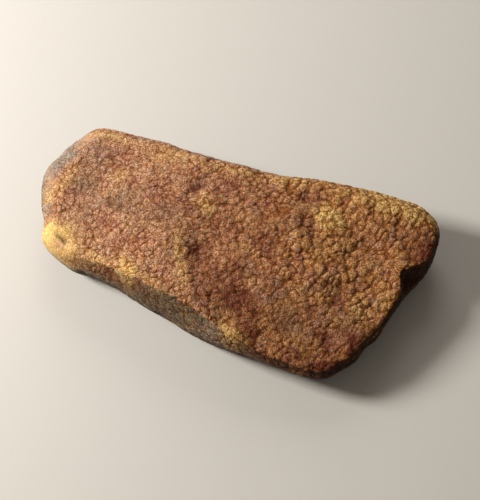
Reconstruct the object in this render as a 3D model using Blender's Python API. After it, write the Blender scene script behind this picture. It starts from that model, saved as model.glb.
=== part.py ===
"""Raw amber piece: one flat, weathered slab of amber that lies on its worn underside.

The slab is modelled in metres. X runs along it, +Z is up, and the origin lies on the resting face, below the
middle of the slab. Its form is worked out on a grid in four steps:

1. an outline through the stations below, with a rounded flank carried round it,
2. a top and an underside filled in between the flank's two rims,
3. relief: lumps, a crease, dimples, a pit at one corner and a bite out of one edge,
4. a fit to the overall length, width and thickness.
"""

import bpy
import numpy as np

MM = 0.001

# Driving dimensions of the whole slab, in millimetres.
LENGTH = 80.0
WIDTH = 41.6
THICKNESS = 12.8

# The outline, anticlockwise seen from above, starting at the left end of the front side. Each station holds x
# and y of the widest point, the height of that point, how far the top's edge is set back from it, and how far
# the foot of the flank is tucked in below it.
STATIONS = (
    (-33.6, -12.1, 5.0, 2.2, 2.5),
    (-27.5, -14.7, 4.6, 0.9, 2.5),
    (-23.0, -15.2, 4.4, 0.7, 2.5),
    (-17.0, -15.7, 3.8, 0.9, 2.2),
    (-10.0, -17.1, 2.8, 1.5, 1.8),
    (-4.3, -18.4, 2.4, 2.0, 1.8),
    (1.1, -19.6, 2.4, 2.2, 1.8),
    (6.7, -20.7, 3.4, 1.4, 2.4),
    (13.3, -21.1, 4.6, 0.7, 3.4),
    (20.2, -21.1, 4.6, 0.6, 3.8),
    (26.9, -20.4, 4.2, 0.8, 3.6),
    (30.0, -17.6, 4.2, 0.9, 3.2),
    (31.9, -14.0, 4.2, 0.8, 3.2),
    (33.2, -9.8, 4.4, 0.6, 3.4),
    (35.6, -5.7, 4.6, 0.6, 3.8),
    (36.7, -0.8, 4.2, 0.7, 4.0),
    (37.7, 2.6, 3.8, 0.8, 4.2),
    (39.3, 6.8, 3.8, 0.8, 4.8),
    (40.2, 11.4, 4.8, 0.9, 5.0),
    (39.8, 15.5, 5.8, 1.4, 5.2),
    (37.9, 18.4, 6.4, 2.2, 5.4),
    (34.0, 19.9, 7.4, 2.4, 5.6),
    (29.0, 19.9, 7.8, 2.0, 5.6),
    (21.0, 19.2, 7.8, 1.8, 5.4),
    (13.0, 18.1, 7.8, 1.7, 5.2),
    (5.0, 16.6, 7.8, 1.7, 5.0),
    (-3.0, 15.7, 7.8, 1.7, 5.0),
    (-11.0, 15.7, 7.8, 1.7, 5.0),
    (-19.8, 15.6, 7.6, 1.8, 5.0),
    (-27.5, 15.6, 7.4, 2.1, 5.0),
    (-32.8, 14.8, 7.2, 3.0, 5.0),
    (-36.0, 11.5, 7.0, 4.0, 5.0),
    (-38.5, 7.0, 6.6, 4.4, 5.0),
    (-39.8, 1.4, 6.0, 3.8, 4.8),
    (-37.8, -4.9, 5.6, 2.8, 4.6),
    (-35.4, -8.2, 5.2, 2.4, 4.5),
)
CORNERS = (0, 10, 20, 30)  # the stations where the front, right, back and left sides start
FINE_STEPS = 40  # steps between two stations when the outline's length is measured

# The line along the middle of the slab that the flank leans in towards, from x, y to x, y.
SPINE = ((-24.0, 0.5), (24.0, 2.0))

# How far the flank's rims reach past its edge and its foot, how far its lip drops below the edge, and how far
# the widest line swells out past the stations.
RIM_WIDTH = 1.2
LIP_DROP = 1.3
WAIST_SWELL = 0.3

# Shares that place the flank's other controls: the lip's part of the setback, how far the widest line lies up
# from the station's height to the edge, and the part of the tuck and of the station's height for the two
# controls below it.
LIP_SHARE = 0.70
WAIST_RISE = 0.45
UNDER_SHARES = (0.20, 0.70)
HEEL_SHARES = (0.45, 0.10)

# Heights of the top at places x, y. Between them the top is a smooth blend that forgets a place over REACH.
REACH = 8.5
TOP_HEIGHTS = (
    (-36.0, -9.0, 8.8),
    (-38.0, 3.0, 8.9),
    (-32.0, 12.0, 10.2),
    (-25.0, -14.0, 9.8),
    (-24.0, 1.0, 11.3),
    (-14.0, 12.0, 11.7),
    (-12.0, -5.0, 11.9),
    (-8.0, -15.0, 12.1),
    (1.0, -17.0, 12.0),
    (3.0, 3.0, 12.3),
    (4.0, 16.0, 11.7),
    (11.0, -20.0, 8.2),
    (14.0, -8.0, 11.2),
    (19.0, 6.0, 11.5),
    (20.0, 18.0, 11.3),
    (24.0, -20.0, 5.8),
    (26.0, -8.0, 9.4),
    (32.0, -12.0, 6.2),
    (34.0, 0.0, 8.4),
    (32.0, 18.0, 10.3),
    (40.0, 11.0, 8.6),
)

# The underside is flat within this ellipse, then curves up towards the foot of the flank: steeply from
# REST_EASE of the ellipse's half size outwards, and gently before that.
REST_HALF_LENGTH = 27.0
REST_HALF_WIDTH = 10.5
REST_TURN = 0.06
REST_EASE = 0.35
UNDERSIDE_RISE = 1.1

# How many times each inner point of the top and the underside is moved to the middle of its four neighbours.
EASING_ROUNDS = 30

# Shallow hollows (negative) and swellings (positive) of the top: x, y, half length, half width, turn in
# degrees, height.
SWELLINGS = (
    (-8.2, 6.3, 2.6, 1.6, 68.0, -0.42),
    (-3.4, -5.8, 3.0, 2.2, 66.0, -0.28),
    (12.6, 12.6, 1.6, 1.0, 72.0, -0.32),
    (16.9, 4.3, 2.9, 1.6, -68.0, -0.20),
    (25.4, 5.4, 4.2, 1.1, 62.0, -0.26),
    (25.0, -6.0, 1.9, 1.1, 49.0, -0.30),
    (25.9, -13.9, 1.6, 1.2, 0.0, -0.30),
    (25.5, 15.7, 2.0, 1.5, 0.0, -0.32),
    (6.0, -12.5, 4.5, 4.0, 20.0, -0.40),
    (-29.8, -12.5, 2.2, 1.35, -14.5, -0.75),
    (-29.4, -11.8, 1.8, 0.60, -14.5, -0.50),
    (-26.2, -12.9, 1.8, 1.2, -10.0, 0.30),
    (-20.0, -3.0, 5.0, 3.5, 20.0, 0.30),
    (10.0, 8.5, 4.0, 3.0, 0.0, 0.30),
    (19.0, 9.5, 2.8, 2.0, 0.0, 0.35),
    (20.0, -3.0, 4.0, 2.6, 20.0, 0.30),
    (30.5, 9.5, 3.4, 2.6, 0.0, 0.35),
    (9.1, -19.0, 2.4, 1.4, -10.0, 0.45),
)

# The crease: the top falls by CREASE_DROP where it is crossed towards +X, and rises again further on.
CREASE = ((-7.6, 1.6), (-6.0, -3.4), (-4.6, -7.8), (-2.4, -11.4), (0.8, -14.8), (5.0, -17.6), (10.0, -19.6))
CREASE_DROP = 0.50
CREASE_WIDTH = 2.5
CREASE_STEEPNESS = 2.0
CREASE_FADE = 8.0
CREASE_LIP = 0.15

# Lumps (positive) and dents (negative) of the flank: x, y, z, radius, height.
FLANK_LUMPS = (
    (33.4, -8.6, 5.0, 2.6, 0.9),
    (35.0, -5.6, 3.6, 1.6, -0.5),
    (31.4, -14.2, 5.0, 2.4, 0.4),
    (38.6, 12.4, 6.4, 2.2, -0.4),
    (-37.6, -6.8, 5.4, 1.6, -0.4),
    (-34.6, -10.4, 5.2, 2.0, 0.2),
    (-12.0, -15.6, 7.0, 5.0, -0.3),
    (8.0, 16.6, 6.0, 4.0, -0.5),
    (-20.0, 15.0, 5.0, 4.5, 0.4),
    (26.0, 19.6, 5.0, 3.6, 0.4),
    (-38.6, 6.0, 4.0, 3.0, -0.4),
)

# The bite out of the edge at the right end: its deepest corner, then the ways along its left wall, along its
# far wall and up between the two walls. The cutter runs BITE_REACH along each of them.
BITE_CORNER = (35.9, 4.0, 6.4)
BITE_SIDES = ((0.33, -0.94, -0.05), (0.79, 0.60, -0.12), (-0.42, 0.16, 1.0))
BITE_REACH = 14.0

# Uneven growth all over: the width of the lumps and how far they stand out, and the height above the floor at
# which they reach their full size.
GROWTH = ((8.0, 0.42), (4.2, 0.22))
GROWTH_START = 2.5

# The lattice that carries the uneven growth starts this many of its steps off the origin, and these waves and
# this factor make its scattered numbers.
LATTICE_START = 17.3
SCATTER_WAVES = (12.9898, 78.233, 37.719)
SCATTER_FACTOR = 43758.5453

# Faces along the front and back sides, along the two ends, and down the flank.
FACES_LONG = 58
FACES_WIDE = 28
FACES_DOWN = 10

AMBER_COLOUR = (0.300, 0.140, 0.062, 1.0)
AMBER_ROUGHNESS = 0.72


def round_the_outline(where):
    """Station values at fractional places round the outline: a closed Catmull-Rom spline through them."""
    stations = np.array(STATIONS)
    count = len(stations)
    first = np.floor(where).astype(int)
    t = (where - first)[:, None]
    before, start, end, after = (stations[(first + step) % count] for step in (-1, 0, 1, 2))
    return 0.5 * (
        2.0 * start
        + (end - before) * t
        + (2.0 * before - 5.0 * start + 4.0 * end - after) * t**2
        + (3.0 * start - before - 3.0 * end + after) * t**3
    )


def evenly_spaced_places(faces_long, faces_wide):
    """Places round the outline, spread evenly by length over each of its four sides."""
    places = []
    ends = CORNERS[1:] + (CORNERS[0] + len(STATIONS),)
    for start, end, faces in zip(CORNERS, ends, (faces_long, faces_wide) * 2):
        fine = np.linspace(start, end, FINE_STEPS * (end - start) + 1)
        steps = np.linalg.norm(np.diff(round_the_outline(fine)[:, :2], axis=0), axis=1)
        length = np.concatenate([[0.0], np.cumsum(steps)])
        places.append(np.interp(np.arange(faces) / faces * length[-1], length, fine))
    return np.concatenate(places)


def blend_weights(controls, part_way):
    """Weights of the controls of a clamped cubic B-spline, one row for each part of the way along it."""
    knots = np.concatenate([[0.0] * 3, np.arange(controls - 2.0), [controls - 3.0] * 3])
    t = np.minimum(part_way, 1.0 - 1e-9) * (controls - 3.0)
    weights = ((knots[:-1] <= t[:, None]) & (t[:, None] < knots[1:])).astype(float)
    for degree in (1, 2, 3):
        lower, upper = knots[: -degree - 1], knots[degree + 1 :]
        rise = np.maximum(knots[degree:-1] - lower, 1e-12)
        fall = np.maximum(upper - knots[1 : len(knots) - degree], 1e-12)
        left = np.where(knots[degree:-1] > lower, (t[:, None] - lower) / rise, 0.0)
        right = np.where(upper > knots[1 : len(knots) - degree], (upper - t[:, None]) / fall, 0.0)
        weights = left * weights[:, :-1] + right * weights[:, 1:]
    return weights


def lean_in(x, y, distance):
    """The point that lies the given distance from x, y towards the nearest place on the spine."""
    start, end = np.array(SPINE)
    along = np.clip(((x - start[0]) * (end - start)[0] + (y - start[1]) * (end - start)[1])
                    / ((end - start) ** 2).sum(), 0.0, 1.0)
    to_x = start[0] + along * (end - start)[0] - x
    to_y = start[1] + along * (end - start)[1] - y
    far = np.hypot(to_x, to_y)
    return x + to_x / far * distance, y + to_y / far * distance


def top_height(x, y):
    """Height of the top before relief: the heights of TOP_HEIGHTS, weighed by nearness to their places."""
    total = np.zeros_like(x)
    weight = np.zeros_like(x)
    for place_x, place_y, height in TOP_HEIGHTS:
        near = np.exp(-((x - place_x) ** 2 + (y - place_y) ** 2) / (2.0 * REACH**2))
        total += near * height
        weight += near
    return total / weight


def underside_height(x, y):
    """Height of the underside: nought on the resting face, then rising as the square of the way past it."""
    along = x + REST_TURN * y
    across = y - REST_TURN * x
    past = np.maximum(np.hypot(along / REST_HALF_LENGTH, across / REST_HALF_WIDTH) - 1.0, 0.0)
    return UNDERSIDE_RISE * past**2 / (past + REST_EASE)


def flank(faces_long, faces_wide, part_way):
    """The flank as rows of points, at the given parts of the way down a B-spline from rim to foot."""
    x, y, waist, setback, tuck = round_the_outline(evenly_spaced_places(faces_long, faces_wide)).T
    rim_x, rim_y = lean_in(x, y, setback + RIM_WIDTH)
    edge_x, edge_y = lean_in(x, y, setback)
    edge_z = top_height(edge_x, edge_y)
    lip_x, lip_y = lean_in(x, y, LIP_SHARE * setback)
    waist_x, waist_y = lean_in(x, y, -WAIST_SWELL)
    under_x, under_y = lean_in(x, y, UNDER_SHARES[0] * tuck)
    heel_x, heel_y = lean_in(x, y, HEEL_SHARES[0] * tuck)
    foot_x, foot_y = lean_in(x, y, tuck + RIM_WIDTH)
    controls = np.array([
        (rim_x, rim_y, top_height(rim_x, rim_y)),
        (edge_x, edge_y, edge_z),
        (lip_x, lip_y, edge_z - LIP_DROP),
        (waist_x, waist_y, waist + WAIST_RISE * (edge_z - waist)),
        (under_x, under_y, UNDER_SHARES[1] * waist),
        (heel_x, heel_y, underside_height(heel_x, heel_y) + HEEL_SHARES[1] * waist),
        (foot_x, foot_y, underside_height(foot_x, foot_y)),
    ])
    return np.einsum("rk,kdc->rcd", blend_weights(len(controls), part_way), controls)


def fill_between(rim, faces_long, faces_wide):
    """A Coons patch in plan between a rim's four sides, eased: x and y over long and wide steps."""
    front = rim[: faces_long + 1]
    right = rim[faces_long : faces_long + faces_wide + 1]
    back = rim[faces_long + faces_wide : 2 * faces_long + faces_wide + 1][::-1]
    left = np.concatenate([rim[2 * faces_long + faces_wide :], rim[:1]])[::-1]
    u = np.linspace(0.0, 1.0, faces_long + 1)[:, None, None]
    v = np.linspace(0.0, 1.0, faces_wide + 1)[None, :, None]
    across = (1 - v) * front[:, None] + v * back[:, None]
    along = (1 - u) * left[None] + u * right[None]
    front_corners = (1 - v) * ((1 - u) * front[0] + u * front[-1])
    back_corners = v * ((1 - u) * back[0] + u * back[-1])
    plan = across + along - front_corners - back_corners
    for _ in range(EASING_ROUNDS):
        plan[1:-1, 1:-1] = 0.25 * (plan[:-2, 1:-1] + plan[2:, 1:-1] + plan[1:-1, :-2] + plan[1:-1, 2:])
    return plan


def sheet(rim, height, faces_long, faces_wide):
    """The inner points of the top or the underside, filled in from its rim, with their heights."""
    plan = fill_between(rim[:, :2], faces_long, faces_wide)[1:-1, 1:-1]
    return np.concatenate([plan, height(plan[..., 0], plan[..., 1])[..., None]], axis=-1).reshape(-1, 3)


def sheet_index(first_of_rim, first_inside, faces_long, faces_wide):
    """Numbers of a sheet's points over long and wide steps: the rim round the outside, the rest inside."""
    number = np.empty((faces_long + 1, faces_wide + 1), int)
    number[1:-1, 1:-1] = first_inside + np.arange((faces_long - 1) * (faces_wide - 1)).reshape(
        faces_long - 1, faces_wide - 1)
    rim = first_of_rim + np.arange(2 * (faces_long + faces_wide))
    number[:, 0] = rim[: faces_long + 1]
    number[-1, :] = rim[faces_long : faces_long + faces_wide + 1]
    number[::-1, -1] = rim[faces_long + faces_wide : 2 * faces_long + faces_wide + 1]
    number[0, ::-1] = np.append(rim[2 * faces_long + faces_wide :], rim[0])
    return number


def quads_of(number):
    """The four-sided faces of a grid of point numbers, facing up where the numbers run along X, then Y."""
    corners = (number[:-1, :-1], number[1:, :-1], number[1:, 1:], number[:-1, 1:])
    return np.stack(corners, axis=-1).reshape(-1, 4)


def slab(faces_long, faces_wide, faces_down):
    """Points and faces of the closed slab before relief."""
    rows = flank(faces_long, faces_wide, np.linspace(0.0, 1.0, faces_down + 1))
    round_count = rows.shape[1]
    top = sheet(rows[0], top_height, faces_long, faces_wide)
    underside = sheet(rows[-1], underside_height, faces_long, faces_wide)
    points = np.concatenate([rows.reshape(-1, 3), top, underside])
    number = np.arange(rows.shape[0] * round_count).reshape(-1, round_count)
    number = np.concatenate([number, number[:, :1]], axis=1)
    top_number = sheet_index(0, rows.shape[0] * round_count, faces_long, faces_wide)
    low_number = sheet_index(
        (rows.shape[0] - 1) * round_count, rows.shape[0] * round_count + len(top), faces_long, faces_wide)
    faces = np.concatenate([quads_of(number), quads_of(top_number), quads_of(low_number)[:, ::-1]])
    return points, faces


def outward(points, faces):
    """Unit vectors square to the surface at each point: the sum of its faces' areas and directions."""
    corner = points[faces]
    square = np.cross(corner[:, 2] - corner[:, 0], corner[:, 3] - corner[:, 1])
    total = np.zeros_like(points)
    for side in range(4):
        np.add.at(total, faces[:, side], square)
    return total / np.linalg.norm(total, axis=1, keepdims=True)


def scatter(cell):
    """A fixed number from -1 to 1 for each whole-numbered cell."""
    mixed = np.sin(cell @ np.array(SCATTER_WAVES)) * SCATTER_FACTOR
    return 2.0 * (mixed - np.floor(mixed)) - 1.0


def uneven(points, width):
    """Smooth lumps of the given width, from -1 to 1: scattered numbers blended across a lattice."""
    place = points / width + LATTICE_START
    cell = np.floor(place)
    part = place - cell
    part = part * part * (3.0 - 2.0 * part)
    total = np.zeros(len(points))
    for corner in np.ndindex(2, 2, 2):
        share = np.prod(np.where(corner, part, 1.0 - part), axis=1)
        total += share * scatter(cell + corner)
    return total


def swelling(points, x, y, half_length, half_width, turn, height):
    """An oval swelling of the top: a bell curve in plan."""
    angle = np.radians(turn)
    along = (points[:, 0] - x) * np.cos(angle) + (points[:, 1] - y) * np.sin(angle)
    across = (points[:, 1] - y) * np.cos(angle) - (points[:, 0] - x) * np.sin(angle)
    return height * np.exp(-((along / half_length) ** 2) - (across / half_width) ** 2)


def crease(points):
    """The step in the top: signed distance from the crease's line makes a lip, a fall and a slow recovery."""
    line = np.array(CREASE)
    nearest = np.full(len(points), np.inf)
    side = np.zeros(len(points))
    fade = np.zeros(len(points))
    for number, (start, end) in enumerate(zip(line[:-1], line[1:])):
        run = end - start
        away = points[:, :2] - start
        along = np.clip(away @ run / (run @ run), 0.0, 1.0)
        off = away - along[:, None] * run
        distance = np.linalg.norm(off, axis=1)
        closer = distance < nearest
        nearest = np.where(closer, distance, nearest)
        side = np.where(closer, np.sign(run[0] * off[:, 1] - run[1] * off[:, 0]), side)
        fade = np.where(closer, np.sin(np.pi * (number + along) / (len(line) - 1)), fade)
    signed = nearest * side
    lip = CREASE_LIP * np.exp(-((signed / CREASE_WIDTH) ** 2))
    fall = 0.5 + 0.5 * np.tanh(CREASE_STEEPNESS * signed / CREASE_WIDTH)
    return fade * (lip - CREASE_DROP * fall * np.exp(-((signed / CREASE_FADE) ** 2)))


def add_relief(points, faces):
    """The slab with its lumps, hollows, crease, pit and bite. The resting face stays flat."""
    square = outward(points, faces)
    upward = np.clip(square[:, 2], 0.0, 1.0) ** 2
    above_floor = np.clip(points[:, 2] / GROWTH_START, 0.0, 1.0)
    grown = sum(height * uneven(points, width) for width, height in GROWTH) * above_floor
    for x, y, z, radius, height in FLANK_LUMPS:
        away = ((points - (x, y, z)) ** 2).sum(axis=1)
        grown = grown + height * np.exp(-away / radius**2) * (1.0 - upward)
    top = crease(points) + sum(swelling(points, *values) for values in SWELLINGS)
    moved = points + square * (grown + top * upward)[:, None]
    moved[:, 2] = np.where(points[:, 2] > 0.0, np.maximum(moved[:, 2], 0.0), 0.0)
    return moved


def fit_to_size(points, cutter):
    """The slab stretched to its overall sizes and centred, standing on nought, and the cutter with it."""
    low, high = points.min(axis=0), points.max(axis=0)
    middle = (low + high) / 2.0
    middle[2] = low[2]
    stretch = np.array([LENGTH, WIDTH, THICKNESS]) / (high - low)
    return (points - middle) * stretch, (cutter - middle) * stretch


def amber():
    """The weathered amber's colour and dull finish."""
    material = bpy.data.materials.new("weathered_amber")
    material.use_nodes = True
    shader = material.node_tree.nodes["Principled BSDF"]
    shader.inputs["Base Color"].default_value = AMBER_COLOUR
    shader.inputs["Roughness"].default_value = AMBER_ROUGHNESS
    shader.inputs["Metallic"].default_value = 0.0
    return material


def bite_cutter():
    """Points and faces of the slanted block that the bite is cut with, from its deepest corner outwards."""
    corners = np.array(list(np.ndindex(2, 2, 2)), float)
    points = np.array(BITE_CORNER) + BITE_REACH * corners @ np.array(BITE_SIDES)
    faces = ((0, 1, 3, 2), (4, 6, 7, 5), (0, 4, 5, 1), (2, 3, 7, 6), (0, 2, 6, 4), (1, 5, 7, 3))
    return points, faces


def mesh_object(name, points, faces):
    """A mesh object in the scene, from points in millimetres."""
    mesh = bpy.data.meshes.new(name)
    mesh.from_pydata((points * MM).tolist(), [], [list(face) for face in faces])
    mesh.update()
    made = bpy.data.objects.new(name, mesh)
    bpy.context.scene.collection.objects.link(made)
    return made


def amber_piece():
    """The whole slab as one closed mesh, with the bite cut out of it."""
    points, faces = slab(FACES_LONG, FACES_WIDE, FACES_DOWN)
    block_points, block_faces = bite_cutter()
    points, block_points = fit_to_size(add_relief(points, faces), block_points)
    piece = mesh_object("amber_piece", points, faces)
    piece.data.shade_smooth()
    piece.data.materials.append(amber())
    cutter = mesh_object("bite_cutter", block_points, block_faces)
    cutter.hide_render = True
    cut = piece.modifiers.new("bite", "BOOLEAN")
    cut.operation = "DIFFERENCE"
    cut.solver = "EXACT"
    cut.object = cutter


def main():
    for old in list(bpy.data.objects):
        bpy.data.objects.remove(old)
    amber_piece()


main()
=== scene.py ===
"""The looks of a raw amber piece: its weathered crust, the light on it and the camera.

The crust is one closed skin that stands for the CAD solid. Its form follows the same outline, flank, top and
relief as the solid, on a grid about five times as fine, and the crust's plates and granules are pressed into
it. Lengths are in millimetres up to the last step, which makes them metres.
"""

import bpy
import numpy as np
from mathutils import Matrix, Vector


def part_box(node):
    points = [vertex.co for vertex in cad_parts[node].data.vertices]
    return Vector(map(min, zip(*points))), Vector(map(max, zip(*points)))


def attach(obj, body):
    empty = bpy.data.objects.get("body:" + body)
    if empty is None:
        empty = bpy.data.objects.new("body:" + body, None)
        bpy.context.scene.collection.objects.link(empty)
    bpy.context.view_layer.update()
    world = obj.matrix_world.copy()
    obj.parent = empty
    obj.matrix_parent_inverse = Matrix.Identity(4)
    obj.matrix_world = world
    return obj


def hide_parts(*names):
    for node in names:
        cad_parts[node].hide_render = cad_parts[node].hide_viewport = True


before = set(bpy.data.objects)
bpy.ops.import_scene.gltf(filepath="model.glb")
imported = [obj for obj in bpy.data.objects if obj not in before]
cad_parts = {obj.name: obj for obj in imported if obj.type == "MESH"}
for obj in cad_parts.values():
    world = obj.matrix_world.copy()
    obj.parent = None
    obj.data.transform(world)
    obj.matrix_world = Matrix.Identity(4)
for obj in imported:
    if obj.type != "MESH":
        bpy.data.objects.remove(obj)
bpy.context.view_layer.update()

MM = 0.001

# The outline, anticlockwise seen from above, starting at the left end of the front side. Each station holds x
# and y of the widest point, the height of that point, how far the top's edge is set back from it, and how far
# the foot of the flank is tucked in below it.
STATIONS = (
    (-33.6, -12.1, 5.0, 2.2, 2.5),
    (-27.5, -14.7, 4.6, 0.9, 2.5),
    (-23.0, -15.2, 4.4, 0.7, 2.5),
    (-17.0, -15.7, 3.8, 0.9, 2.2),
    (-10.0, -17.1, 2.8, 1.5, 1.8),
    (-4.3, -18.4, 2.4, 2.0, 1.8),
    (1.1, -19.6, 2.4, 2.2, 1.8),
    (6.7, -20.7, 3.4, 1.4, 2.4),
    (13.3, -21.1, 4.6, 0.7, 3.4),
    (20.2, -21.1, 4.6, 0.6, 3.8),
    (26.9, -20.4, 4.2, 0.8, 3.6),
    (30.0, -17.6, 4.2, 0.9, 3.2),
    (31.9, -14.0, 4.2, 0.8, 3.2),
    (33.2, -9.8, 4.4, 0.6, 3.4),
    (35.6, -5.7, 4.6, 0.6, 3.8),
    (36.7, -0.8, 4.2, 0.7, 4.0),
    (37.7, 2.6, 3.8, 0.8, 4.2),
    (39.3, 6.8, 3.8, 0.8, 4.8),
    (40.2, 11.4, 4.8, 0.9, 5.0),
    (39.8, 15.5, 5.8, 1.4, 5.2),
    (37.9, 18.4, 6.4, 2.2, 5.4),
    (34.0, 19.9, 7.4, 2.4, 5.6),
    (29.0, 19.9, 7.8, 2.0, 5.6),
    (21.0, 19.2, 7.8, 1.8, 5.4),
    (13.0, 18.1, 7.8, 1.7, 5.2),
    (5.0, 16.6, 7.8, 1.7, 5.0),
    (-3.0, 15.7, 7.8, 1.7, 5.0),
    (-11.0, 15.7, 7.8, 1.7, 5.0),
    (-19.8, 15.6, 7.6, 1.8, 5.0),
    (-27.5, 15.6, 7.4, 2.1, 5.0),
    (-32.8, 14.8, 7.2, 3.0, 5.0),
    (-36.0, 11.5, 7.0, 4.0, 5.0),
    (-38.5, 7.0, 6.6, 4.4, 5.0),
    (-39.8, 1.4, 6.0, 3.8, 4.8),
    (-37.8, -4.9, 5.6, 2.8, 4.6),
    (-35.4, -8.2, 5.2, 2.4, 4.5),
)
CORNERS = (0, 10, 20, 30)  # the stations where the front, right, back and left sides start
FINE_STEPS = 40  # steps between two stations when the outline's length is measured

# The line along the middle of the slab that the flank leans in towards, from x, y to x, y.
SPINE = ((-24.0, 0.5), (24.0, 2.0))

# How far the flank's rims reach past its edge and its foot, how far its lip drops below the edge, and how far
# the widest line swells out past the stations.
RIM_WIDTH = 1.2
LIP_DROP = 1.3
WAIST_SWELL = 0.3

# Shares that place the flank's other controls: the lip's part of the setback, how far the widest line lies up
# from the station's height to the edge, and the part of the tuck and of the station's height for the two
# controls below it.
LIP_SHARE = 0.70
WAIST_RISE = 0.45
UNDER_SHARES = (0.20, 0.70)
HEEL_SHARES = (0.45, 0.10)

# Heights of the top at places x, y. Between them the top is a smooth blend that forgets a place over REACH.
REACH = 8.5
TOP_HEIGHTS = (
    (-36.0, -9.0, 8.8),
    (-38.0, 3.0, 8.9),
    (-32.0, 12.0, 10.2),
    (-25.0, -14.0, 9.8),
    (-24.0, 1.0, 11.3),
    (-14.0, 12.0, 11.7),
    (-12.0, -5.0, 11.9),
    (-8.0, -15.0, 12.1),
    (1.0, -17.0, 12.0),
    (3.0, 3.0, 12.3),
    (4.0, 16.0, 11.7),
    (11.0, -20.0, 8.2),
    (14.0, -8.0, 11.2),
    (19.0, 6.0, 11.5),
    (20.0, 18.0, 11.3),
    (24.0, -20.0, 5.8),
    (26.0, -8.0, 9.4),
    (32.0, -12.0, 6.2),
    (34.0, 0.0, 8.4),
    (32.0, 18.0, 10.3),
    (40.0, 11.0, 8.6),
)

# The underside is flat within this ellipse, then curves up towards the foot of the flank: steeply from
# REST_EASE of the ellipse's half size outwards, and gently before that.
REST_HALF_LENGTH = 27.0
REST_HALF_WIDTH = 10.5
REST_TURN = 0.06
REST_EASE = 0.35
UNDERSIDE_RISE = 1.1

# How many times each inner point of the top and the underside is moved to the middle of its four neighbours.
EASING_ROUNDS = 30

# Shallow hollows (negative) and swellings (positive) of the top: x, y, half length, half width, turn in
# degrees, height.
SWELLINGS = (
    (-8.2, 6.3, 2.6, 1.6, 68.0, -0.42),
    (-3.4, -5.8, 3.0, 2.2, 66.0, -0.28),
    (12.6, 12.6, 1.6, 1.0, 72.0, -0.32),
    (16.9, 4.3, 2.9, 1.6, -68.0, -0.20),
    (25.4, 5.4, 4.2, 1.1, 62.0, -0.26),
    (25.0, -6.0, 1.9, 1.1, 49.0, -0.30),
    (25.9, -13.9, 1.6, 1.2, 0.0, -0.30),
    (25.5, 15.7, 2.0, 1.5, 0.0, -0.32),
    (6.0, -12.5, 4.5, 4.0, 20.0, -0.40),
    (-29.8, -12.5, 2.2, 1.35, -14.5, -0.75),
    (-29.4, -11.8, 1.8, 0.60, -14.5, -0.50),
    (-26.2, -12.9, 1.8, 1.2, -10.0, 0.30),
    (-20.0, -3.0, 5.0, 3.5, 20.0, 0.30),
    (10.0, 8.5, 4.0, 3.0, 0.0, 0.30),
    (19.0, 9.5, 2.8, 2.0, 0.0, 0.35),
    (20.0, -3.0, 4.0, 2.6, 20.0, 0.30),
    (30.5, 9.5, 3.4, 2.6, 0.0, 0.35),
    (9.1, -19.0, 2.4, 1.4, -10.0, 0.45),
)

# The crease: the top falls by CREASE_DROP where it is crossed towards +X, and rises again further on.
CREASE = ((-7.6, 1.6), (-6.0, -3.4), (-4.6, -7.8), (-2.4, -11.4), (0.8, -14.8), (5.0, -17.6), (10.0, -19.6))
CREASE_DROP = 0.50
CREASE_WIDTH = 2.5
CREASE_STEEPNESS = 2.0
CREASE_FADE = 8.0
CREASE_LIP = 0.15

# Lumps (positive) and dents (negative) of the flank: x, y, z, radius, height.
FLANK_LUMPS = (
    (33.4, -8.6, 5.0, 2.6, 0.9),
    (35.0, -5.6, 3.6, 1.6, -0.5),
    (31.4, -14.2, 5.0, 2.4, 0.4),
    (38.6, 12.4, 6.4, 2.2, -0.4),
    (-37.6, -6.8, 5.4, 1.6, -0.4),
    (-34.6, -10.4, 5.2, 2.0, 0.2),
    (-12.0, -15.6, 7.0, 5.0, -0.3),
    (8.0, 16.6, 6.0, 4.0, -0.5),
    (-20.0, 15.0, 5.0, 4.5, 0.4),
    (26.0, 19.6, 5.0, 3.6, 0.4),
    (-38.6, 6.0, 4.0, 3.0, -0.4),
)

# The bite out of the edge at the right end: its deepest corner, then the ways along its left wall, along its
# far wall and up between the two walls.
BITE_CORNER = (35.9, 4.0, 6.4)
BITE_SIDES = ((0.33, -0.94, -0.05), (0.79, 0.60, -0.12), (-0.42, 0.16, 1.0))

# Uneven growth all over: the width of the lumps and how far they stand out, and the height above the floor at
# which they reach their full size.
GROWTH = ((8.0, 0.42), (4.2, 0.22))
GROWTH_START = 2.5

# The lattice that carries the uneven growth starts this many of its steps off the origin, and these waves and
# this factor make its scattered numbers.
LATTICE_START = 17.3
SCATTER_WAVES = (12.9898, 78.233, 37.719)
SCATTER_FACTOR = 43758.5453

# Faces of the skin along the front and back sides, along the two ends, and down the upper and lower flank.
# The lower flank and the underside have half as many faces along them.
FACES_LONG = 290
FACES_WIDE = 150
FACES_DOWN = 40
FACES_LOW = 12
UPPER_FLANK = 0.64

# How rounded the edges of the bite are, in millimetres.
BITE_WEAR = 0.30

# The crust. Domed plates lie side by side with cracks between them, and smaller domed granules cover them.
# PLATE_FINENESS is the number of plates in a millimetre in the middle, and how much it falls with each
# millimetre towards the wide end. PLATE_SPREAD is how much the plates differ in size. The widths of brims
# and cracks are in plates, heights and depths in millimetres. PLATE_BENDS and GRAINS hold a width in
# millimetres and how far the plates' borders bend, or how deep the grains go.
PLATE_FINENESS = (0.70, 0.0018)
PLATE_SPREAD = 0.16
PLATE_DOME = 0.14
PLATE_TILT = 0.06
PLATE_STEP = 0.03
BRIM_WIDTH = 0.46
BRIM_DEPTH = 0.08
CRACK_WIDTH = 0.17
CRACK_DEPTH = 0.15
GRANULE_SHARE = 0.50
GRANULE_DOME = 0.10
PLATE_BENDS = ((1.5, 0.28), (0.7, 0.10))
GRAINS = ((0.62, 0.03),)

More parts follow.
